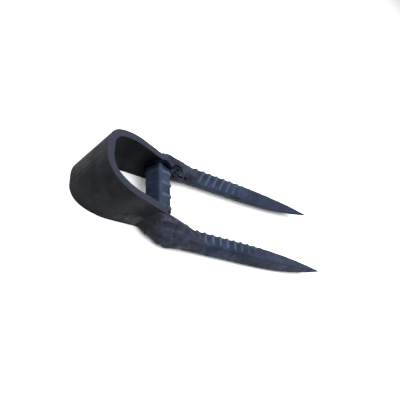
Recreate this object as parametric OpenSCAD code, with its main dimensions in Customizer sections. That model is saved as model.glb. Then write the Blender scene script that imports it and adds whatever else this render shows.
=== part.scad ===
// Slip-on two-tined bucket tooth: a bent plate strap closed by a ribbed bar, with two forged ribbed-bar
// tines lapped and welded outside its legs. +X points to the tips, +Y to the left tine and +Z up.
// The origin lies on the floor, in the middle of the strap's back edge.

/* [Strap] */
// Thickness of the bent plate
plate_t = 9.5; // [8:0.5:12]
// Width between the inside faces of the legs
socket_w = 67; // [62:1:72]
// Half width of the flat at the middle of the back
back_flat = 6.2; // [4:0.1:8]
// Mid-plate radius of the tight part of each bend
corner_r = 27; // [24:1:30]
// Mid-plate radius of the easy part that runs into the leg
easy_r = 80; // [70:1:90]
// How far the back leans towards the tips
back_lean = 10.4; // [6:0.1:14]
// Front end of the legs, from the back
leg_end = 112; // [110:1:118]
// Height of the leg's front end
leg_end_h = 31; // [28:0.5:33]
// Place and height of the corner where the sloping rim breaks off
rim_break = [104, 44.8]; // [40:0.1:110]
// Place and height of the foot of that step, from where the edge runs straight to the leg's end
rim_step = [107, 34.5]; // [30:0.1:110]
// Place and height of a point midway along the rim
rim_mid = [60, 61.6]; // [55:0.1:65]
// Slope of the rim at that point
rim_slope = 0.365; // [0.34:0.005:0.39]
// Radius of the rim's long crown
rim_r = 1675; // [1200:25:2400]

/* [Ribbed bar] */
// Radius of the plain core of the bar
core_r = 12.1; // [11:0.1:13]
// Radius over the ribs
rib_r = 14.2; // [13:0.1:15]
// Width of a cross rib
rib_w = 2.6; // [1.5:0.1:4]
// Angle by which both rows of cross ribs lean off square, the same way up the bar
rib_lean = 20; // [5:1:25]
// Width of the two long ribs
long_rib_w = 3; // [2:0.1:4]

/* [Tines] */
// Distance of each tine's axis from the centre plane
tine_y = 52; // [50:0.5:54]
// Where the bevelled rear end of each tine sits
tine_root = 100; // [96:1:104]
// Length of each tine, from its rear end to its tip
tine_len = 301; // [285:1:320]
// Length of the rear bevel, and half width across it at the very end
rear_bevel = [14, 5]; // [4:0.5:16]
// Angle by which the tine noses down
tine_pitch = 0.7; // [0:0.1:1.5]
// Spacing of the tine's cross ribs
tine_rib_pitch = 12.5; // [10:0.5:15]
// Place of the first of them, from the rear end
tine_rib_first = 12; // [6:0.5:16]
// How far each long rib is turned from straight up, right and left
ridge_turn = [29, 78]; // [0:1:90]

/* [Forged points] */
// Where drawing down to four faces starts, from the rear end
draw_start = 65; // [50:1:90]
// Where the point itself starts, from the rear end
point_start = 197; // [180:1:210]
// Half width across the faces where the point starts
point_w = 10.2; // [9:0.1:11]
// Half width across the faces at the blunt tip
tip_w = 0.6; // [0.3:0.1:1.5]
// How far the tip is forged up from the bar's axis
tip_rise = 4.5; // [0:0.5:6]

/* [Cross bar] */
// Place and height of the cross bar's axis
cross_at = [97.5, 30.5]; // [28:0.5:100]
// Spacing of its cross ribs
cross_rib_pitch = 17.3; // [12:0.1:22]
// Place of the first of them, from the right leg
cross_rib_first = 5; // [3:0.5:10]
// How far its long rib is turned back from straight up
cross_ridge_turn = 21; // [0:1:45]

/* [Hidden] */
$fn = 96;
far = 400;
mid_y = socket_w / 2 + plate_t / 2;
leg_out_y = socket_w / 2 + plate_t;
turn_1 = asin((easy_r + back_flat - mid_y) / (easy_r - corner_r));
corner_c = [corner_r, back_flat];
easy_c = corner_c + (easy_r - corner_r) * [cos(turn_1), -sin(turn_1)];
rim_tilt = atan(rim_slope);
rim_c = rim_mid - rim_r * [sin(rim_tilt), cos(rim_tilt)];
plate_colour = "#2a2c33";
bar_colour = "#363d50";
weld_colour = "#454257";

// Points of an arc about centre c, from one direction to another
function arc(c, r, from, to, steps) = [
    for (i = [0 : steps]) let (a = from + (to - from) * i / steps) c + r * [cos(a), sin(a)]
];

// Half of the plan line that stands off the mid-plate line by off: back flat, tight bend, easy bend, leg
function half_line(off) = concat(
    arc(corner_c, corner_r + off, 180, 180 - turn_1, 12),
    arc(easy_c, easy_r + off, 180 - turn_1, 90, 8),
    [[far / 2, mid_y + off]]
);

// Plan of the strap: the outside line out, and the inside line back, each mirrored over the centre plane
module strap_plan() {
    outside = half_line(plate_t / 2);
    inside = half_line(-plate_t / 2);
    last = len(outside) - 1;
    polygon(concat(
        [for (i = [last : -1 : 0]) [outside[i][0], -outside[i][1]]],
        outside,
        [for (i = [last : -1 : 0]) inside[i]],
        [for (p = inside) [p[0], -p[1]]]
    ));
}

// Side view of the strap: flat bottom, crowned rim, a short step, and the straight cut to the leg's end
module strap_side() {
    above = rim_break + 4 * (rim_break - rim_step);
    intersection() {
        translate(rim_c) circle(r = rim_r, $fn = 720);
        polygon([[-40, 0], [leg_end, 0], [leg_end, leg_end_h], rim_step, above, [-40, 150]]);
    }
}

module strap() {
    color(plate_colour) intersection() {
        rotate([0, back_lean, 0]) linear_extrude(height = far, center = true) strap_plan();
        rotate([90, 0, 0]) linear_extrude(height = far, center = true) strap_side();
    }
}

// Hot-rolled bar along +X: round core, two long ribs up and down, two rows of crescent ribs at the sides
module ribbed_bar(length, pitch, first) {
    crescent_c = (rib_r * rib_r - core_r * core_r) / (2 * rib_r);
    count = floor((length - first) / pitch);
    rotate([0, 90, 0]) cylinder(r = core_r, h = length);
    intersection() {
        translate([0, -long_rib_w / 2, -rib_r]) cube([length, long_rib_w, 2 * rib_r]);
        rotate([0, 90, 0]) cylinder(r = rib_r, h = length);
    }
    for (side = [-1, 1]) intersection() {
        translate([0, side * crescent_c, 0]) rotate([0, 90, 0]) cylinder(r = rib_r - crescent_c, h = length);
        for (i = [0 : count]) translate([first + i * pitch, side * core_r, 0])
            rotate([0, -rib_lean, 0]) cube([rib_w, core_r, 3 * core_r], center = true);
    }
}

// Outline of one pair of worked faces: the rear bevel, the full bar, and the point, which ends at rise
module point_side(rise) {
    run = tine_len - point_start;
    slope = (rib_r - point_w) / (point_start - draw_start);
    up = point_w - tip_w - rise - slope * run;
    down = point_w - tip_w + rise - slope * run;
    steps = 10;
    polygon(concat(
        [[0, rear_bevel[1]], [rear_bevel[0], rib_r + 0.1], [draw_start, rib_r + 0.1]],
        [for (i = [0 : steps]) let (t = i / steps)
            [point_start + run * t, point_w - slope * run * t - up * t * t]],
        [for (i = [steps : -1 : 0]) let (t = i / steps)
            [point_start + run * t, -point_w + slope * run * t + down * t * t]],
        [[draw_start, -rib_r - 0.1], [rear_bevel[0], -rib_r - 0.1], [0, -rear_bevel[1]]]
    ));
}

// Moves a bar from the origin to where a tine starts
module place_tine(side) {
    translate([tine_root, side * tine_y, rib_r]) rotate([0, tine_pitch, 0]) children();
}

// One tine: ribbed bar drawn down to a four-faced point, cut flat where it laps the leg
module tine(side, turn) {
    color(bar_colour) difference() {
        place_tine(side) intersection() {
            rotate([turn, 0, 0]) ribbed_bar(tine_len, tine_rib_pitch, tine_rib_first);
            rotate([turn - 45, 0, 0]) rotate([90, 0, 0])
                linear_extrude(height = 60, center = true) point_side(tip_rise * cos(turn - 45));
            rotate([turn + 45, 0, 0]) rotate([90, 0, 0])
                linear_extrude(height = 60, center = true) point_side(tip_rise * cos(turn + 45));
        }
        translate([0, side * leg_out_y / 2, 0]) cube([2 * (leg_end + 1), leg_out_y, far], center = true);
        translate([0, -far / 2, -far]) cube([2 * far, far, far]);
    }
}

module right_tine() {
    tine(-1, ridge_turn[0]);
}

module left_tine() {
    tine(1, ridge_turn[1]);
}

module cross_bar() {
    color(bar_colour) translate([cross_at[0], -socket_w / 2, cross_at[1]])
        rotate([0, -cross_ridge_turn, 0]) rotate([0, 0, 90])
            ribbed_bar(socket_w, cross_rib_pitch, cross_rib_first);
}

// A weld: its outer shape, above the floor and without the core of the tine that it joins
module weld_metal(side) {
    color(weld_colour) difference() {
        children();
        place_tine(side) rotate([0, 90, 0]) union() {
            cylinder(r1 = rear_bevel[1], r2 = core_r, h = rear_bevel[0]);
            translate([0, 0, rear_bevel[0] - 1]) cylinder(r = core_r, h = tine_len - rear_bevel[0]);
        }
        translate([0, -far / 2, -far]) cube([far, far, far]);
    }
}

// Build-up that swells from the leg's outside over the tine, all of it outside the plane of the leg's face
module root_weld(side) {
    weld_metal(side) difference() {
        hull() {
            translate([89, side * 40.5, 8]) sphere(r = 4.5, $fn = 32);
            translate([93, side * 40.5, 41]) sphere(r = 4.5, $fn = 32);
            translate([97, side * 44, 7]) sphere(r = 7, $fn = 32);
            translate([102, side * 50, 13]) sphere(r = 10, $fn = 32);
            translate([108, side * 46, 37]) sphere(r = 7.5, $fn = 32);
            translate([118, side * 50.5, 16]) sphere(r = 16.3, $fn = 32);
            translate([122, side * 57, 9]) sphere(r = 10.6, $fn = 32);
            translate([136, side * tine_y, 15]) sphere(r = 14.6, $fn = 32);
            translate([158, side * tine_y, 13.8]) rotate([0, 90, 0]) cylinder(r = 13, h = 2, $fn = 32);
        }
        translate([0, side * leg_out_y / 2, 0]) cube([2 * far, leg_out_y, far], center = true);
    }
}

// Gusset of weld from the leg's front end, down onto the top and the inside of the tine
module toe_weld(side) {
    weld_metal(side) difference() {
        hull() {
            translate([112, side * 39, 29.5]) sphere(r = 6, $fn = 32);
            translate([125, side * 41.5, 21.5]) sphere(r = 9.5, $fn = 32);
            translate([137, side * 43, 18.5]) sphere(r = 9.5, $fn = 32);
        }
        translate([0, side * (leg_out_y + far / 2), 0]) cube([2 * far, far, far], center = true);
        strap();
    }
}

// Fillet all round the cross bar, where it butts against the leg
module bar_weld(side) {
    fillet = 4.5;
    color(weld_colour) translate([cross_at[0], side * (socket_w / 2 - fillet), cross_at[1]])
        rotate([-side * 90, 0, 0]) difference() {
            cylinder(r1 = core_r + 0.5, r2 = core_r + fillet, h = fillet);
            translate([0, 0, -1]) cylinder(r = core_r, h = fillet + 2);
        }
}

module right_root_weld() {
    root_weld(-1);
}

module left_root_weld() {
    root_weld(1);
}

module right_toe_weld() {
    toe_weld(-1);
}

module left_toe_weld() {
    toe_weld(1);
}

module right_bar_weld() {
    bar_weld(-1);
}

module left_bar_weld() {
    bar_weld(1);
}

strap();
cross_bar();
right_tine();
left_tine();
right_root_weld();
left_root_weld();
right_toe_weld();
left_toe_weld();
right_bar_weld();
left_bar_weld();
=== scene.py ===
import math
import random

import bmesh
import bpy
from mathutils import Matrix, Vector, noise
from mathutils.bvhtree import BVHTree


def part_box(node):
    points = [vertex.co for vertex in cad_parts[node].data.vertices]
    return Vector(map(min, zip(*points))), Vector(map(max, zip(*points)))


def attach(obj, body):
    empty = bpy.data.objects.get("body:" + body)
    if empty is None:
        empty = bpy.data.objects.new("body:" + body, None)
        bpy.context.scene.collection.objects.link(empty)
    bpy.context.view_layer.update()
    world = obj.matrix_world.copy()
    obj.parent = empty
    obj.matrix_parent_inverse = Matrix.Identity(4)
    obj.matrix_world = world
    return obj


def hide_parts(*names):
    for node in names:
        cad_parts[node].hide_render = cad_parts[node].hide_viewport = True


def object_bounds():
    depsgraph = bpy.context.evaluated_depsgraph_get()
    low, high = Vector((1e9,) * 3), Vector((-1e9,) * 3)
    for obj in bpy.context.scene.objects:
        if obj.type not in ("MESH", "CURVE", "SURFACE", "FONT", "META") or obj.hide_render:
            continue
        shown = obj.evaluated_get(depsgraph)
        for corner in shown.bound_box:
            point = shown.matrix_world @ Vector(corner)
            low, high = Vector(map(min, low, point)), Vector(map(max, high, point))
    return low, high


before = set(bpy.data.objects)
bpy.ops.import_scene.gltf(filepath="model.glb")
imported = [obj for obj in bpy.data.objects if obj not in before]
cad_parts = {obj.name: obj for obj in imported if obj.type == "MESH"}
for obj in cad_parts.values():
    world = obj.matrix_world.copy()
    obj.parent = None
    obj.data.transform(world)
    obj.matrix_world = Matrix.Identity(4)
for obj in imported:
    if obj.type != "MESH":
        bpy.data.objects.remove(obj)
cad_low, cad_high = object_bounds()

# Strap. One 9.5 mm plate, cut to shape and bent hot round a former to a U that slips over a bucket
# tooth: a short flat at the back, a tight bend, an easy bend and a straight leg, alike on both sides.
# Its back leans towards the tips, and its torch-cut rim slopes down to the legs' front ends.

MM = 0.001
strap_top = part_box("strap")[1]
plate_t = 9.5
leg_end = strap_top[0] / MM
leg_mid_y = strap_top[1] / MM - plate_t / 2
back_flat = 6.2
tight_r = 27
easy_r = 80
back_lean = math.radians(10.4)
tight_turn = math.asin((easy_r + back_flat - leg_mid_y) / (easy_r - tight_r))
tight_centre = Vector((tight_r, back_flat, 0))
easy_centre = tight_centre + (easy_r - tight_r) * Vector((math.cos(tight_turn), -math.sin(tight_turn), 0))
leg_end_h = 31
rim_break = (104, 44.8)
rim_step = (107, 34.5)
rim_mid = (60, 61.6)
rim_tilt = math.atan(0.365)
rim_r = 1675
cut_edge_round = 0.8
sharp_edge = math.radians(50)
plate_wave = 0.22
join_gap = 0.001


def rim_height(x):
    """Height of the plate's rim, in mm: a long crown, a short step and a straight cut to the leg's end."""
    if x > rim_step[0]:
        return rim_step[1] + (rim_step[0] - x) * (rim_step[1] - leg_end_h) / (leg_end - rim_step[0])
    along = x - rim_mid[0] + rim_r * math.sin(rim_tilt)
    crown = rim_mid[1] - rim_r * math.cos(rim_tilt) + math.sqrt(rim_r ** 2 - along ** 2)
    step = rim_break[1] + (rim_break[0] - x) * (rim_break[1] - rim_step[1]) / (rim_step[0] - rim_break[0])
    return min(crown, step)


def plain_noise(place, size):
    """Smooth noise from -1 to 1 whose lumps are about size mm across."""
    return noise.noise(Vector(place) / size)


def strap_mesh():
    """Sweeps the plate's section round half the loop, mirrors it, then leans and trims it."""
    bm = bmesh.new()
    stand_up = Matrix(((plate_t, 0, 0, 0), (0, 0, 1, 0), (0, 1, 0, 0.5), (0, 0, 0, 1)))
    bmesh.ops.create_grid(bm, x_segments=4, y_segments=40, size=0.5, matrix=stand_up)
    end = bm.faces[:]
    leg_length = leg_end * math.cos(back_lean) - easy_centre.x
    stretches = (
        ((0, 0, 0), 0, (0, back_flat, 0), 4),
        (tight_centre, tight_turn, (0, 0, 0), 26),
        (easy_centre, math.pi / 2 - tight_turn, (0, 0, 0), 20),
        ((0, 0, 0), 0, (leg_length, 0, 0), 40),
    )
    for centre, turn, reach, steps in stretches:
        swept = bmesh.ops.spin(
            bm, geom=end, cent=centre, axis=(0, 0, 1), angle=-turn,
            dvec=Vector(reach) / steps, steps=steps, use_duplicate=False,
        )
        end = [part for part in swept["geom_last"] if isinstance(part, bmesh.types.BMFace)]
    middle = [f for f in bm.faces if all(abs(v.co.y) < join_gap for v in f.verts)]
    bmesh.ops.delete(bm, geom=middle, context="FACES")
    everything = bm.verts[:] + bm.edges[:] + bm.faces[:]
    bmesh.ops.mirror(bm, geom=everything, axis="Y", merge_dist=join_gap)

    torch_cut = bm.verts.layers.float.new("torch_cut")
    for vert in bm.verts:
        x, y, share = vert.co
        on_leg = min(max((x - easy_centre.x) / leg_length, 0), 1)
        vert[torch_cut] = 1.0 if share > 0.999 or on_leg > 0.999 else 0.0
        z = 0
        for _ in range(6):
            place = x / math.cos(back_lean) + z * math.tan(back_lean) * (1 - on_leg)
            z = share * rim_height(place)
        vert.co = (place, y, z)
    bmesh.ops.recalc_face_normals(bm, faces=bm.faces[:])
    edges = [e for e in bm.edges if e.calc_face_angle(0) > sharp_edge]
    bmesh.ops.bevel(
        bm, geom=edges, offset=cut_edge_round, segments=3, profile=0.5,
        affect="EDGES", material=-1, clamp_overlap=True,
    )
    bm.normal_update()
    for vert in bm.verts:
        wave = plain_noise(vert.co, 30) + 0.5 * plain_noise(vert.co, 9) - 0.5
        vert.co += vert.normal * plate_wave * wave
    return bm


def finished(bm, name, materials, nodes):
    """Turns a mesh in mm into a piece in metres, inside the CAD model's box, standing for its nodes."""
    bmesh.ops.scale(bm, vec=(MM, MM, MM), verts=bm.verts[:])
    for vert in bm.verts:
        vert.co = [min(max(c, low), high) for c, low, high in zip(vert.co, cad_low, cad_high)]
    for face in bm.faces:
        face.smooth = True
    mesh = bpy.data.meshes.new(name)
    bm.to_mesh(mesh)
    bm.free()
    for material in materials:
        mesh.materials.append(material)
    piece = bpy.data.objects.new(name, mesh)
    bpy.context.collection.objects.link(piece)
    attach(piece, "root")
    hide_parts(*nodes)
    return piece


def new_material(name, metallic, specular):
    """A material whose metal share and reflection strength are the same all over."""
    material = bpy.data.materials.new(name)
    material.use_nodes = True
    tree = material.node_tree
    shader = tree.nodes["Principled BSDF"]
    shader.inputs["Metallic"].default_value = metallic
    shader.inputs["Specular IOR Level"].default_value = specular
    return material, tree, shader


def node(tree, kind, settings=None, **values):
    """Adds a node. Settings are its properties, and values its inputs' numbers or links, i0 the first."""
    made = tree.nodes.new(kind)
    for key, value in (settings or {}).items():
        setattr(made, key, value)
    for key, value in values.items():
        by_number = key[0] == "i" and key[1:].isdigit()
        socket = made.inputs[int(key[1:]) if by_number else key.replace("_", " ")]
        if isinstance(value, bpy.types.NodeSocket):
            tree.links.new(value, socket)
        else:
            socket.default_value = value
    return made


def spread(tree, value, low, high, bottom=0.0, top=1.0):
    """Maps a value's stretch from low to high onto bottom to top, smoothly."""
    made = node(tree, "ShaderNodeMapRange", {"interpolation_type": "SMOOTHSTEP"}, i0=value)
    for index, number in enumerate((low, high, bottom, top), start=1):
        made.inputs[index].default_value = number
    return made.outputs[0]


def product(tree, one, other):
    """One value or mask times another."""
    return node(tree, "ShaderNodeMath", {"operation": "MULTIPLY"}, i0=one, i1=other).outputs[0]


def blended(tree, mask, one, other):
    """One colour where the mask is 0 and the other where it is 1."""
    made = node(tree, "ShaderNodeMix", {"data_type": "RGBA"}, i0=mask, i6=one, i7=other)
    return made.outputs[2]


def new_group(name, inputs, outputs):
    """A shader node group with named sockets; returns it with its input and output nodes."""
    group = bpy.data.node_groups.new(name, "ShaderNodeTree")
    for label, kind, default in inputs:
        group.interface.new_socket(label, in_out="INPUT", socket_type=kind).default_value = default
    for label, kind in outputs:
        group.interface.new_socket(label, in_out="OUTPUT", socket_type=kind)
    return group, group.nodes.new("NodeGroupInput"), group.nodes.new("NodeGroupOutput")


COLOUR = "NodeSocketColor"
NUMBER = "NodeSocketFloat"

# Fire scale, the skin that hot work leaves on every piece here: cloudy, with a tint in patches,
# a fine grain and small pits where scale has popped off.
fire_scale, scale_in, scale_out = new_group(
    "fire_scale",
    (("Dark", COLOUR, (0.02, 0.02, 0.02, 1)), ("Pale", COLOUR, (0.1, 0.1, 0.1, 1)),
     ("Tint", COLOUR, (0.1, 0.05, 0.1, 1)), ("Cloud Size", NUMBER, 30.0)),
    (("Color", COLOUR), ("Roughness", NUMBER), ("Height", NUMBER)),
)
at = node(fire_scale, "ShaderNodeTexCoord").outputs["Object"]
clouds = node(
    fire_scale, "ShaderNodeTexNoise",
    Vector=at, Scale=scale_in.outputs["Cloud Size"], Detail=6, Roughness=0.62,
)
patches = node(fire_scale, "ShaderNodeTexNoise", Vector=at, Scale=75, Detail=3, Roughness=0.55)
grain = node(fire_scale, "ShaderNodeTexNoise", Vector=at, Scale=900, Detail=4, Roughness=0.65)
cells = node(fire_scale, "ShaderNodeTexVoronoi", Vector=at, Scale=260, Randomness=1)
cloud_mask = spread(fire_scale, clouds.outputs[0], 0.36, 0.66)
patch_mask = spread(fire_scale, patches.outputs[0], 0.5, 0.72, 0, 0.7)
pit_mask = product(
    fire_scale,
    spread(fire_scale, cells.outputs["Distance"], 0.1, 0.3, 1, 0),
    spread(fire_scale, patches.outputs[0], 0.42, 0.6),
)
cloudy = blended(fire_scale, cloud_mask, scale_in.outputs["Dark"], scale_in.outputs["Pale"])
tinted = blended(fire_scale, patch_mask, cloudy, scale_in.outputs["Tint"])
grain_mask = spread(fire_scale, grain.outputs[0], 0.45, 0.75, 0, 0.25)
grained = blended(fire_scale, grain_mask, tinted, scale_in.outputs["Pale"])
pitted = blended(fire_scale, product(fire_scale, pit_mask, 0.55), grained, scale_in.outputs["Dark"])
fire_scale.links.new(pitted, scale_out.inputs["Color"])
dullness = spread(fire_scale, clouds.outputs[0], 0.3, 0.7, 0.62, 0.42)
fire_scale.links.new(dullness, scale_out.inputs["Roughness"])
pit_depth = product(fire_scale, pit_mask, 0.8)
relief = node(fire_scale, "ShaderNodeMath", {"operation": "SUBTRACT"}, i0=grain.outputs[0], i1=pit_depth)
fire_scale.links.new(relief.outputs[0], scale_out.inputs["Height"])

# Rubbed edges: corners and high spots where handling has polished the scale.
rubbed_edges, rub_in, rub_out = new_group(
    "rubbed_edges",
    (("Color", COLOUR, (0.02, 0.02, 0.02, 1)), ("Rubbed", COLOUR, (0.2, 0.2, 0.2, 1)),
     ("Amount", NUMBER, 0.5)),
    (("Color", COLOUR), ("Mask", NUMBER)),
)
pointiness = node(rubbed_edges, "ShaderNodeNewGeometry").outputs["Pointiness"]
corners = spread(rubbed_edges, pointiness, 0.52, 0.57)
at = node(rubbed_edges, "ShaderNodeTexCoord").outputs["Object"]
uneven = node(rubbed_edges, "ShaderNodeTexNoise", Vector=at, Scale=160, Detail=4, Roughness=0.6)
worn_corners = product(rubbed_edges, corners, spread(rubbed_edges, uneven.outputs[0], 0.35, 0.65))
rub_mask = product(rubbed_edges, worn_corners, rub_in.outputs["Amount"])
rubbed_colour = blended(rubbed_edges, rub_mask, rub_in.outputs["Color"], rub_in.outputs["Rubbed"])
rubbed_edges.links.new(rubbed_colour, rub_out.inputs["Color"])
rubbed_edges.links.new(rub_mask, rub_out.inputs["Mask"])


def scaled(tree, shader, dark, pale, tint, cloud_size):
    """Fire scale in these colours; joins its roughness to the shader and returns its node."""
    scale = node(
        tree, "ShaderNodeGroup", {"node_tree": fire_scale},
        Dark=(*dark, 1), Pale=(*pale, 1), Tint=(*tint, 1), Cloud_Size=cloud_size,
    )
    tree.links.new(scale.outputs["Roughness"], shader.inputs["Roughness"])
    return scale


def dressed(tree, shader, colour, height, amount, rubbed, depth):
    """Rubs the edges of a colour, gives the fine relief its depth in m and joins both to the shader."""
    edges = node(
        tree, "ShaderNodeGroup", {"node_tree": rubbed_edges},
        Color=colour, Rubbed=(*rubbed, 1), Amount=amount,
    )
    bump = node(tree, "ShaderNodeBump", Strength=1.0, Distance=depth, Height=height)
    tree.links.new(edges.outputs["Color"], shader.inputs["Base Color"])
    tree.links.new(bump.outputs["Normal"], shader.inputs["Normal"])


def ahead_of(tree, low, high):
    """A wavering mask, 0 behind low and 1 ahead of high, both in mm along X."""
    reach = 16
    at = node(tree, "ShaderNodeTexCoord").outputs["Object"]
    waver = node(tree, "ShaderNodeTexNoise", Vector=at, Scale=60, Detail=3)
    x = node(tree, "ShaderNodeSeparateXYZ", Vector=at).outputs["X"]
    moved = node(
        tree, "ShaderNodeMath", {"operation": "MULTIPLY_ADD"}, i0=waver.outputs[0], i1=reach * MM, i2=x
    )
    return spread(tree, moved.outputs[0], (low + reach / 2) * MM, (high + reach / 2) * MM)


def near(tree, centre, reach, size, broken):
    """A mask, 1 at a place and fading out over reach, both in mm, the more broken into flakes of a size."""
    at = node(tree, "ShaderNodeTexCoord").outputs["Object"]
    middle = Vector(centre) * MM
    apart = node(tree, "ShaderNodeVectorMath", {"operation": "SUBTRACT"}, i0=at, i1=middle)
    squeezed = node(
        tree, "ShaderNodeVectorMath", {"operation": "DIVIDE"}, i0=apart.outputs[0], i1=Vector(reach) * MM
    )
    distance = node(tree, "ShaderNodeVectorMath", {"operation": "LENGTH"}, i0=squeezed.outputs[0])
    ragged = node(tree, "ShaderNodeTexNoise", Vector=at, Scale=1 / (size * MM), Detail=4, Roughness=0.7)
    inside = spread(tree, distance.outputs["Value"], 0.35, 1.0, 1, 0)
    return product(tree, inside, spread(tree, ragged.outputs[0], broken, broken + 0.22))


# The plate is near black, with a pale scuff low on the right leg, a weld's tint at the front ends, painted
# shade round the cross bar's left end, and a torch-cut rim, bluer partly in its own tone and partly as
# painted cool overhead light.
socket_half = leg_mid_y - plate_t / 2
cross_x = 97.5
cross_z = 30.5
scuff_colour = (0.046, 0.046, 0.047, 1)
weld_tint = (0.0115, 0.012, 0.018, 1)
# painted shade: a near-black colour for the leg's inner face round the cross bar's left end
plate_shade_colour = (0.0008, 0.0010, 0.0024, 1)
plate, tree, shader = new_material("blued_plate", 0.05, 0.03)
scale = scaled(
    tree, shader, (0.0046, 0.0052, 0.0068), (0.0115, 0.0122, 0.0142), (0.0105, 0.0085, 0.0105), 28
)
scuff = near(tree, (80, -44, 12), (34, 12, 16), 5, 0.4)
scuffed = blended(tree, scuff, scale.outputs["Color"], scuff_colour)
tinted = blended(tree, product(tree, ahead_of(tree, 88, 112), 0.8), scuffed, weld_tint)
cut = node(tree, "ShaderNodeAttribute", {"attribute_name": "torch_cut"}).outputs["Fac"]
at = node(tree, "ShaderNodeTexCoord").outputs["Object"]
drag = node(tree, "ShaderNodeTexNoise", Vector=at, Scale=420, Detail=2)
# the rim's colour is partly the torch-cut face's own tone and partly painted cool overhead light, as the rim
# faces up
cut_and_cool_light_colour = blended(tree, drag.outputs[0], (0.0092, 0.0104, 0.0165, 1), (0.0165, 0.018, 0.026, 1))
# painted shade: darkens the leg's inner face round the cross bar's left end, where it meets the bar
shade_mask = near(tree, (cross_x, socket_half, cross_z), (36, 7, 34), 14, 0.2)
shade_painted = blended(tree, shade_mask, tinted, plate_shade_colour)
coloured = blended(tree, spread(tree, cut, 0.3, 0.8), shade_painted, cut_and_cool_light_colour)
at_edge = product(tree, spread(tree, cut, 0.1, 0.6), 0.5)
dressed(tree, shader, coloured, scale.outputs["Height"], at_edge, (0.024, 0.025, 0.031), 0.00025)

finished(strap_mesh(), "bent_strap", [plate], ["strap"])

# Cross bar and tines. Hot-rolled 25 mm ribbed bar: a round core, two long ribs opposite each other, and
# two rows of crescent cross ribs between them. The cross bar is a sawn piece butted between the legs.
# Each tine is forged at its front end, which takes the ribs down and ends in a four-faced point.

core_r = 12.1
rib_r = 14.2
face_r = 11.5
face_corner = 5.0
rib_w = 2.6
rib_h = 1.15
corner_rib_h = 1.9
rib_lean = math.radians(20)
long_rib_w = 2.4
rib_flank = 3.2
bar_sides = 120
ring_gap = 0.75


def hump(distance, half_width):
    """1 on a rib's crest and 0 beyond its flanks."""
    t = min(max((abs(distance) - half_width) / rib_flank, 0), 1)
    return 1 - t * t * (3 - 2 * t)


def squared(angle, corner):
    """Reach of a rounded square of half width 1 that has a corner on the long rib."""
    facing = angle - math.pi / 4
    return (abs(math.cos(facing)) ** corner + abs(math.sin(facing)) ** corner) ** (-1 / corner)


def rolled(s, angle, pitch, first, worn_side):
    """Radius of the rolled bar, s mm along it and at an angle from its long rib, and the ribs' share.

    The cross ribs are lower on the worn side, which is 1 or -1 like the sine of the angle there.
    """
    to_crest = abs(math.remainder(angle, math.pi)) * core_r
    long_rib = 0.5 * hump(to_crest, long_rib_w / 2 - 0.8)
    place = (s + core_r * math.cos(angle) * math.tan(rib_lean) - first) / pitch
    to_rib = (place - max(round(place), 0)) * pitch
    clear_of_crest = min(max((to_crest - long_rib_w / 2) / 3, 0), 1)
    nicked = 0.75 + 0.25 * noise.noise((place, 3 * math.sin(angle), 3 * math.cos(angle)))
    kept = 0.35 if worn_side * math.sin(angle) > 0 else 1.0
    cross_rib = clear_of_crest * hump(to_rib, rib_w / 2 - 0.7) * nicked * kept
    height = rib_h + (corner_rib_h - rib_h) * math.sin(angle) ** 6
    return face_r * squared(angle, face_corner) + max(long_rib, height * cross_rib), cross_rib


def bar_mesh(length, pitch, first, worn_side, shape):
    """A tube of rings along +X, each point moved out to the rolled bar, then handed to shape."""
    bm = bmesh.new()
    face_along = Matrix.Rotation(math.pi / 2, 4, "Y")
    bmesh.ops.create_circle(bm, segments=bar_sides, radius=1, cap_ends=False, matrix=face_along)
    rings = round(length / ring_gap)
    bmesh.ops.spin(
        bm, geom=bm.edges[:], cent=(0, 0, 0), axis=(1, 0, 0), angle=0,
        dvec=(length / rings, 0, 0), steps=rings, use_duplicate=False,
    )
    bmesh.ops.holes_fill(bm, edges=[e for e in bm.edges if e.is_boundary], sides=0)
    bmesh.ops.recalc_face_normals(bm, faces=bm.faces[:])
    crest = bm.verts.layers.float.new("crest")
    forged = bm.verts.layers.float.new("forged")
    for vert in bm.verts:
        s = vert.co.x
        angle = math.atan2(vert.co.y, vert.co.z)
        radius, cross_rib = rolled(s, angle, pitch, first, worn_side)
        vert.co, shown, vert[forged] = shape(s, angle, radius, cross_rib)
        vert[crest] = cross_rib * shown
    return bm


tine_y = 52
tine_root = 100
tine_len = 301
tine_pitch = math.radians(0.7)
rear_bevel = 14
rear_w = 5
draw_start = 65
point_start = 197
point_w = 10.2
tip_w = 0.6
tip_rise = 4.5
hammer_mark = 0.32
last_rib = 180
draw_slope = (rib_r + 0.1 - point_w) / (point_start - draw_start)


def forged_half_width(s):
    """Half the width across a pair of forged faces, s mm from the tine's rear end."""
    if s < rear_bevel:
        return rear_w + (rib_r + 0.1 - rear_w) * s / rear_bevel
    if s < point_start:
        return rib_r + 0.1 - draw_slope * max(s - draw_start, 0)
    run = tine_len - point_start
    t = (s - point_start) / run
    return point_w - draw_slope * run * t - (point_w - tip_w - draw_slope * run) * t * t


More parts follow.
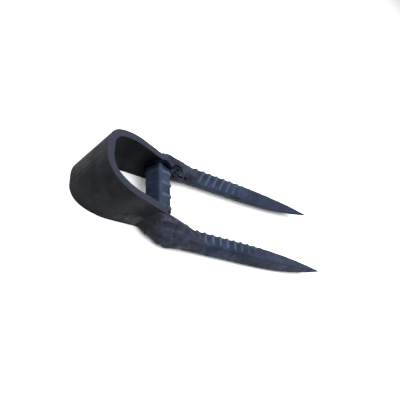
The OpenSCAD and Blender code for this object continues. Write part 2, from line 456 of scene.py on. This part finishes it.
def tine_mesh(side, ridge_turn):
    """One tine in its place: rolled, drawn down to a point, pitched, and let in beside its leg."""
    place = Matrix.Translation((tine_root, side * tine_y, rib_r)) @ Matrix.Rotation(tine_pitch, 4, "Y")
    turn = Matrix.Rotation(ridge_turn, 4, "X")
    sharp_corner = 11

    def shape(s, angle, radius, cross_rib):
        half = forged_half_width(s)
        square = squared(angle, sharp_corner)
        worked = min(max((s - draw_start) / (point_start - draw_start), 0), 1)
        spot = Vector((s, core_r * math.sin(angle), core_r * math.cos(angle)))
        hammered = hammer_mark * worked * plain_noise(spot + Vector((0, side * 40, 0)), 11)
        limit = max(half * square + hammered * min(half / 5, 1), 0.3)
        gap = min(max(0.5 + (limit - radius) / 1.2, 0), 1)
        radius = limit + (radius - limit) * gap - 0.6 * gap * (1 - gap)
        pressed_in = (1 - gap) * min(max((last_rib - s) / 70, 0), 1)
        radius += 0.1 * plain_noise(spot, 4) * min(half / 5, 1) + 0.5 * pressed_in * cross_rib
        t = max((s - point_start) / (tine_len - point_start), 0)
        point = turn @ Vector((s, radius * math.sin(angle), radius * math.cos(angle)))
        point.z += tip_rise * t * t
        point = place @ point
        if point.x < leg_end + 1 and abs(point.y) < leg_mid_y + plate_t / 2:
            point.y = side * (leg_mid_y + plate_t / 2)
        point.z = max(point.z, 0)
        return point, gap + 0.8 * pressed_in, 1 - min(max((half - core_r + 2) / 2, 0), 1)

    return shape


# Bar steel is bluer than the plate, paler on the ribs and greyer where it was forged. The tines are dull
# where the root welds heated them, and shade is painted on the cross bar's left end.
drawn_colour = (0.0120, 0.0137, 0.0250, 1)
crest_colour = (0.0290, 0.0385, 0.0610, 1)
heated_colour = (0.0095, 0.0102, 0.0165, 1)
# painted shade colour for the cross bar's left end, inside the loop by the leg
bar_shade_colour = (0.0010, 0.0014, 0.003, 1)
bar_steel, tree, shader = new_material("ribbed_bar_steel", 0.05, 0.05)
scale = scaled(tree, shader, (0.0058, 0.0084, 0.0155), (0.0130, 0.0186, 0.0335), (0.0118, 0.0122, 0.0240), 45)
crest_mask = node(tree, "ShaderNodeAttribute", {"attribute_name": "crest"}).outputs["Fac"]
forged_mask = node(tree, "ShaderNodeAttribute", {"attribute_name": "forged"}).outputs["Fac"]
drawn = blended(tree, product(tree, forged_mask, 0.6), scale.outputs["Color"], drawn_colour)
crested = blended(tree, spread(tree, crest_mask, 0.05, 0.8, 0, 0.75), drawn, crest_colour)
cooler = node(tree, "ShaderNodeMath", {"operation": "SUBTRACT"}, i0=1.0, i1=ahead_of(tree, 148, 176))
heat = product(tree, ahead_of(tree, 116, 122), cooler.outputs[0])
heated = blended(tree, heat, crested, heated_colour)
# painted shade: darkens the cross bar's left end where it meets the leg
shade_mask = near(tree, (cross_x - 4, socket_half + 1, cross_z), (30, 17, 30), 9, 0.25)
shade_painted = blended(tree, shade_mask, heated, bar_shade_colour)
dressed(tree, shader, shade_painted, scale.outputs["Height"], 0.5, (0.04, 0.05, 0.075), 0.0003)

tine_rib_pitch = 12.5
tine_rib_first = 12
for side, ridge_turn, name in ((-1, 29, "right_tine"), (1, 78, "left_tine")):
    shape = tine_mesh(side, math.radians(ridge_turn))
    tine = bar_mesh(tine_len, tine_rib_pitch, tine_rib_first, -1, shape)
    finished(tine, name + "_forged", [bar_steel], [name])

cross_grow = 1.1
cross_rib_pitch = 17.3
cross_rib_first = 5
cross_ridge_turn = math.radians(21)
cross_place = (
    Matrix.Translation((cross_x, -socket_half, cross_z))
    @ Matrix.Rotation(-cross_ridge_turn, 4, "Y") @ Matrix.Rotation(math.pi / 2, 4, "Z")
)


def cross_shape(s, angle, radius, _):
    """The cross bar keeps its rolled shape and all its ribs, with the waves that rolling leaves."""
    spot = Vector((s, core_r * math.sin(angle), core_r * math.cos(angle)))
    radius = cross_grow * radius + 0.15 * plain_noise(spot, 6)
    point = cross_place @ Vector((s, radius * math.sin(angle), radius * math.cos(angle)))
    return point, 1.0, 0.0


cross_bar = bar_mesh(2 * socket_half, cross_rib_pitch, cross_rib_first, 1, cross_shape)
finished(cross_bar, "sawn_cross_bar", [bar_steel], ["cross_bar"])

# Root welds. Weld metal built up in long passes from the leg's outside over the rear end of the tine,
# so that the leg swells into the bar. The passes show as soft ripples, with beads of spatter about, and
# black slag is left on the inside of the left one.

voxel = 0.85
weld_rng = random.Random(7)


def add_ball(bm, centre, radii):
    """A ball, or with three radii a flattened one."""
    place = Matrix.Translation(centre) @ Matrix.Diagonal((*radii, 1))
    bmesh.ops.create_icosphere(bm, subdivisions=3, radius=1, matrix=place)


def hull_of(balls):
    """The skin stretched over a few balls, each given as its centre and radius."""
    bm = bmesh.new()
    for centre, radius in balls:
        add_ball(bm, centre, (radius, radius, radius))
    bmesh.ops.delete(bm, geom=bm.edges[:], context="EDGES_FACES")
    bmesh.ops.convex_hull(bm, input=bm.verts[:])
    bmesh.ops.delete(bm, geom=[v for v in bm.verts if not v.link_faces], context="VERTS")
    bmesh.ops.recalc_face_normals(bm, faces=bm.faces[:])
    return bm


def fused(bm, smoothing, lump):
    """Melts overlapping shapes into one even skin, softens it and makes it a little lumpy."""
    mesh = bpy.data.meshes.new("fused")
    bm.to_mesh(mesh)
    bm.free()
    lumps = bpy.data.objects.new("fused", mesh)
    bpy.context.collection.objects.link(lumps)
    remesh = lumps.modifiers.new("fuse", "REMESH")
    remesh.mode = "VOXEL"
    remesh.voxel_size = voxel
    skin = lumps.evaluated_get(bpy.context.evaluated_depsgraph_get())
    bm = bmesh.new()
    bm.from_mesh(skin.to_mesh())
    skin.to_mesh_clear()
    bpy.data.objects.remove(lumps)
    bpy.data.meshes.remove(mesh)
    for _ in range(smoothing):
        bmesh.ops.smooth_vert(
            bm, verts=bm.verts[:], factor=0.5, use_axis_x=True, use_axis_y=True, use_axis_z=True
        )
    bm.normal_update()
    for vert in bm.verts:
        vert.co += vert.normal * lump * (plain_noise(vert.co, 7) + 0.6 * plain_noise(vert.co, 2.6))
    return bm


def add_spatter(bm, spots, biggest):
    """Beads of spatter stuck on the surface at the spots."""
    for spot in spots:
        size = biggest * (0.35 + 0.65 * weld_rng.random() ** 2)
        place = Matrix.Translation(spot) @ Matrix.Diagonal((size, size, size * 0.8, 1))
        bmesh.ops.create_icosphere(bm, subdivisions=2, radius=1, matrix=place)


def root_weld_mesh(side):
    """A hull over the joint, ridged by passes of weld laid along it on its outside and top."""
    core = hull_of((
        ((82, side * 40.5, 6), 3.2), ((88, side * 40.5, 8), 4.2), ((92, side * 40.5, 42), 4.2),
        ((97, side * 44, 7), 6.6), ((102, side * 50, 13), 9.4), ((108, side * 46, 37), 7.0),
        ((118, side * 50.5, 16), 15.7), ((122, side * 57, 9), 10), ((136, side * tine_y, 15), 14.0),
        ((157, side * tine_y, 13.8), 12.0), ((166, side * tine_y, 13.6), 11.4),
    ))
    skin = BVHTree.FromBMesh(core)
    passes = 8
    lowest_pass = -48
    pass_step = 20
    pass_sunk = 3.4
    lump_r = 4.5
    lump_sunk = 3.1
    for run in range(passes):
        angle = math.radians(lowest_pass + pass_step * run)
        outward = Vector((0, side * math.sin(angle), math.cos(angle)))
        x = 90 + 2 * weld_rng.random()
        x_end = 134 + 10 * weld_rng.random()
        while x < x_end:
            hit = skin.ray_cast(Vector((x, side * tine_y, 15)), outward)[0]
            if hit:
                add_ball(core, hit - pass_sunk * outward, (2.6, 4.0, 4.0))
            x += 2.7 + 0.7 * weld_rng.random()
    for x in (113, 121, 129, 137):
        for shoulder in (Vector((0.2, -0.65, 0.72)), Vector((0.2, 0.65, 0.72))):
            hit = skin.ray_cast(Vector((x, side * 50, 18)), shoulder)[0]
            add_ball(core, hit - lump_sunk * shoulder, (lump_r, lump_r, lump_r))
    bm = fused(core, 5, 0.36)
    bmesh.ops.bisect_plane(
        bm, geom=bm.verts[:] + bm.edges[:] + bm.faces[:],
        plane_co=(0, side * (leg_mid_y - 2), 0), plane_no=(0, -side, 0), clear_outer=True,
    )
    bmesh.ops.holes_fill(bm, edges=[e for e in bm.edges if e.is_boundary], sides=0)
    on_skin = [v.co.copy() for v in bm.verts if v.co.z > 6 and abs(v.co.y) > leg_mid_y + 6]
    spots = weld_rng.sample(on_skin, 34)
    for _ in range(16):
        along = 84 + 22 * weld_rng.random()
        height = 3 + weld_rng.random() * (rim_height(along) - 8)
        spots.append(Vector((along, side * (leg_mid_y + plate_t / 2), height)))
    add_spatter(bm, spots, 0.95)
    for vert in bm.verts:
        vert.co.z = max(vert.co.z, 0)
    return bm


# Weld metal is mottled grey and lavender with bright flecks, and takes the plate's colour at its rear.
plate_colour = (0.0085, 0.0088, 0.0110, 1)
fleck_colour = (0.10, 0.097, 0.115, 1)
weld_metal, tree, shader = new_material("weld_metal", 0.05, 0.05)
scale = scaled(tree, shader, (0.0062, 0.0074, 0.0108), (0.0185, 0.0205, 0.0320), (0.0245, 0.0230, 0.0395), 60)
at = node(tree, "ShaderNodeTexCoord").outputs["Object"]
fleck_cells = node(tree, "ShaderNodeTexVoronoi", Vector=at, Scale=260, Randomness=1)
fleck_patch = node(tree, "ShaderNodeTexNoise", Vector=at, Scale=70, Detail=2)
flecks = product(
    tree,
    spread(tree, fleck_cells.outputs["Distance"], 0.08, 0.22, 1, 0),
    spread(tree, fleck_patch.outputs[0], 0.52, 0.64),
)
from_plate = blended(tree, ahead_of(tree, 84, 104), plate_colour, scale.outputs["Color"])
flecked = blended(tree, flecks, from_plate, fleck_colour)
dressed(tree, shader, flecked, scale.outputs["Height"], 0.4, (0.04, 0.04, 0.055), 0.0003)

# Slag is the black crust left where a pass ended.
slag, tree, shader = new_material("weld_slag", 0.0, 0.0)
at = node(tree, "ShaderNodeTexCoord").outputs["Object"]
glaze = node(tree, "ShaderNodeTexNoise", Vector=at, Scale=500, Detail=3)
glazed = blended(tree, glaze.outputs[0], (0.0002, 0.0004, 0.0005, 1), (0.0012, 0.0026, 0.0026, 1))
tree.links.new(glazed, shader.inputs["Base Color"])
tree.links.new(spread(tree, glaze.outputs[0], 0.3, 0.7, 0.3, 0.6), shader.inputs["Roughness"])


def add_slag(bm, skin, path, thick):
    """A broken thread of slag along a path of points, laid on the weld's skin."""
    bead_gap = 0.7
    missing = 0.2
    for start, stop in zip(path, path[1:]):
        start = Vector(start)
        stop = Vector(stop)
        beads = max(round((stop - start).length / bead_gap), 1)
        for bead in range(beads + 1):
            if weld_rng.random() < missing:
                continue
            found = skin.find_nearest(start.lerp(stop, bead / beads))[0]
            size = thick * (0.6 + 0.6 * weld_rng.random())
            before = len(bm.faces)
            bmesh.ops.create_icosphere(bm, subdivisions=2, radius=size, matrix=Matrix.Translation(found))
            bm.faces.ensure_lookup_table()
            for face in bm.faces[before:]:
                face.material_index = 1


for side, name in ((-1, "right_root_weld"), (1, "left_root_weld")):
    root = root_weld_mesh(side)
    if side > 0:
        skin = BVHTree.FromBMesh(root)
        hook = (
            (117, 37, 32), (118, 39, 35), (121, 41, 37), (124, 42, 37),
            (128, 42, 36), (132, 41, 34), (134, 40, 31),
        )
        add_slag(root, skin, hook, 1.1)
        add_slag(root, skin, ((126, 40, 33), (129, 39, 32)), 1.5)
        add_slag(root, skin, ((144, 39, 22), (149, 39, 20)), 1.1)
    finished(root, name + "_passes", [weld_metal, slag], [name])

# Toe welds. A gusset of weld metal from each leg's front end down onto the top and the inside of the
# tine. It has a weave of ripples across it, and the left one keeps some slag.


def toe_weld_mesh(side):
    """A gusset from the leg's front end to the tine, with ripples across it, and spatter."""
    line = (
        Vector((112, side * 39, 29.5)),
        Vector((125, side * 41.5, 21.5)),
        Vector((137, side * 43, 18.5)),
    )
    core = hull_of(zip(line, (5.4, 8.9, 8.9)))
    skin = BVHTree.FromBMesh(core)
    ahead = (line[2] - line[0]).normalized()
    over = Vector((-ahead.z, 0, ahead.x)).normalized()
    inward = Vector((0, -side, 0))
    ripples = 6
    ripple_height = 1.2
    for ripple in range(ripples):
        t = ripple / (ripples - 1)
        middle = line[0].lerp(line[2], t)
        for turn in range(-40, 121, 22):
            way = over * math.cos(math.radians(turn)) + inward * math.sin(math.radians(turn))
            hit = skin.ray_cast(middle, way)[0]
            if hit:
                ball = 3.0 + 0.4 * weld_rng.random()
                add_ball(core, hit - way * (ball - ripple_height), (ball, ball * 1.1, ball))
    bm = fused(core, 2, 0.3)
    on_skin = [v.co.copy() for v in bm.verts if v.co.z > 14]
    add_spatter(bm, weld_rng.sample(on_skin, 8), 0.9)
    return bm


for side, name in ((-1, "right_toe_weld"), (1, "left_toe_weld")):
    toe = toe_weld_mesh(side)
    if side > 0:
        skin = BVHTree.FromBMesh(toe)
        add_slag(toe, skin, ((129, 35, 29), (133, 35, 26), (139, 35, 25)), 1.25)
        add_slag(toe, skin, ((120, 34, 29), (122, 33, 26), (126, 32, 24)), 0.8)
        add_slag(toe, skin, ((123, 35, 31), (126, 36, 31)), 1.0)
    finished(toe, name + "_bead", [weld_metal, slag], [name])

# Bar welds. One rippled fillet all round each end of the cross bar, where it butts on the leg. The left
# one is larger and painted near black as shade.

# painted shade: near-black colours for the left bar weld, in the dark corner where the bar meets the leg
painted_shade_weld, tree, shader = new_material("painted_shade_weld", 0.0, 0.0)
scale = scaled(tree, shader, (0.0006, 0.0009, 0.0020), (0.0022, 0.0028, 0.0050), (0.0020, 0.0020, 0.0040), 60)
dressed(tree, shader, scale.outputs["Color"], scale.outputs["Height"], 0.2, (0.006, 0.007, 0.011), 0.0003)

fillets = (
    (-1, "right_bar_weld", 1.0, weld_metal),
    (1, "left_bar_weld", 2.2, painted_shade_weld),
)
for side, name, leg, look in fillets:
    ring = bmesh.new()
    ripples = 40
    for ripple in range(ripples):
        angle = 2 * math.pi * ripple / ripples
        away = Vector((math.sin(angle), 0, math.cos(angle)))
        size = 2.6 + 0.35 * leg + 0.5 * weld_rng.random()
        middle = Vector((cross_x, side * (socket_half - 0.6), cross_z)) + away * (core_r + leg)
        add_ball(ring, middle, (size, size * 1.1, size))
    fillet = fused(ring, 1, 0.2)
    for vert in fillet.verts:
        vert.co.y = side * min(abs(vert.co.y), leg_mid_y)
    on_skin = [v.co.copy() for v in fillet.verts if abs(v.co.y) < socket_half - 1]
    add_spatter(fillet, weld_rng.sample(on_skin, 5), 0.8)
    finished(fillet, name + "_fillet", [look], [name])

# Studio. A plain pale floor under one large soft cool light, in an even pale room.

floor_bm = bmesh.new()
bmesh.ops.create_grid(floor_bm, x_segments=4, y_segments=4, size=4)
floor_mesh = bpy.data.meshes.new("floor")
floor_bm.to_mesh(floor_mesh)
floor_bm.free()
floor = bpy.data.objects.new("floor", floor_mesh)
bpy.context.collection.objects.link(floor)
floor_paint, tree, shader = new_material("floor_paint", 0.0, 0.1)
shader.inputs["Base Color"].default_value = (0.57, 0.56, 0.54, 1)
shader.inputs["Roughness"].default_value = 0.9
floor_mesh.materials.append(floor_paint)

lamp_data = bpy.data.lights.new("overhead", "AREA")
lamp_data.shape = "DISK"
lamp_data.size = 3.0
lamp_data.energy = 200
lamp_data.color = (0.90, 0.95, 1.0)
lamp = bpy.data.objects.new("overhead", lamp_data)
lamp.location = (0.35, 0.15, 1.7)
bpy.context.collection.objects.link(lamp)

room = bpy.data.worlds.new("room")
room.use_nodes = True
room.node_tree.nodes["Background"].inputs["Color"].default_value = (1.0, 0.99, 0.97, 1)
room.node_tree.nodes["Background"].inputs["Strength"].default_value = 0.4
bpy.context.scene.world = room
bpy.context.scene.view_settings.view_transform = "Standard"

view_azimuth = math.radians(-134.14)
view_elevation = math.radians(43.067)
view_roll = math.radians(50.893)
view_distance = 548.2
aim = Vector((170.33, 11.19, 20))
back = Vector((
    math.cos(view_elevation) * math.cos(view_azimuth),
    math.cos(view_elevation) * math.sin(view_azimuth),
    math.sin(view_elevation),
))
level = back.cross(Vector((0, 0, -1))).normalized()
upright = level.cross(-back)
turned_right = math.cos(view_roll) * level + math.sin(view_roll) * upright
turned_up = math.cos(view_roll) * upright - math.sin(view_roll) * level
camera_data = bpy.data.cameras.new("camera")
camera_data.sensor_width = 36
camera_data.lens = 35.453
camera_data.clip_start = 0.01
camera = bpy.data.objects.new("camera", camera_data)
facing = Matrix((turned_right, turned_up, back)).transposed().to_4x4()
camera.matrix_world = Matrix.Translation((aim + view_distance * back) * MM) @ facing
bpy.context.collection.objects.link(camera)
bpy.context.scene.camera = camera
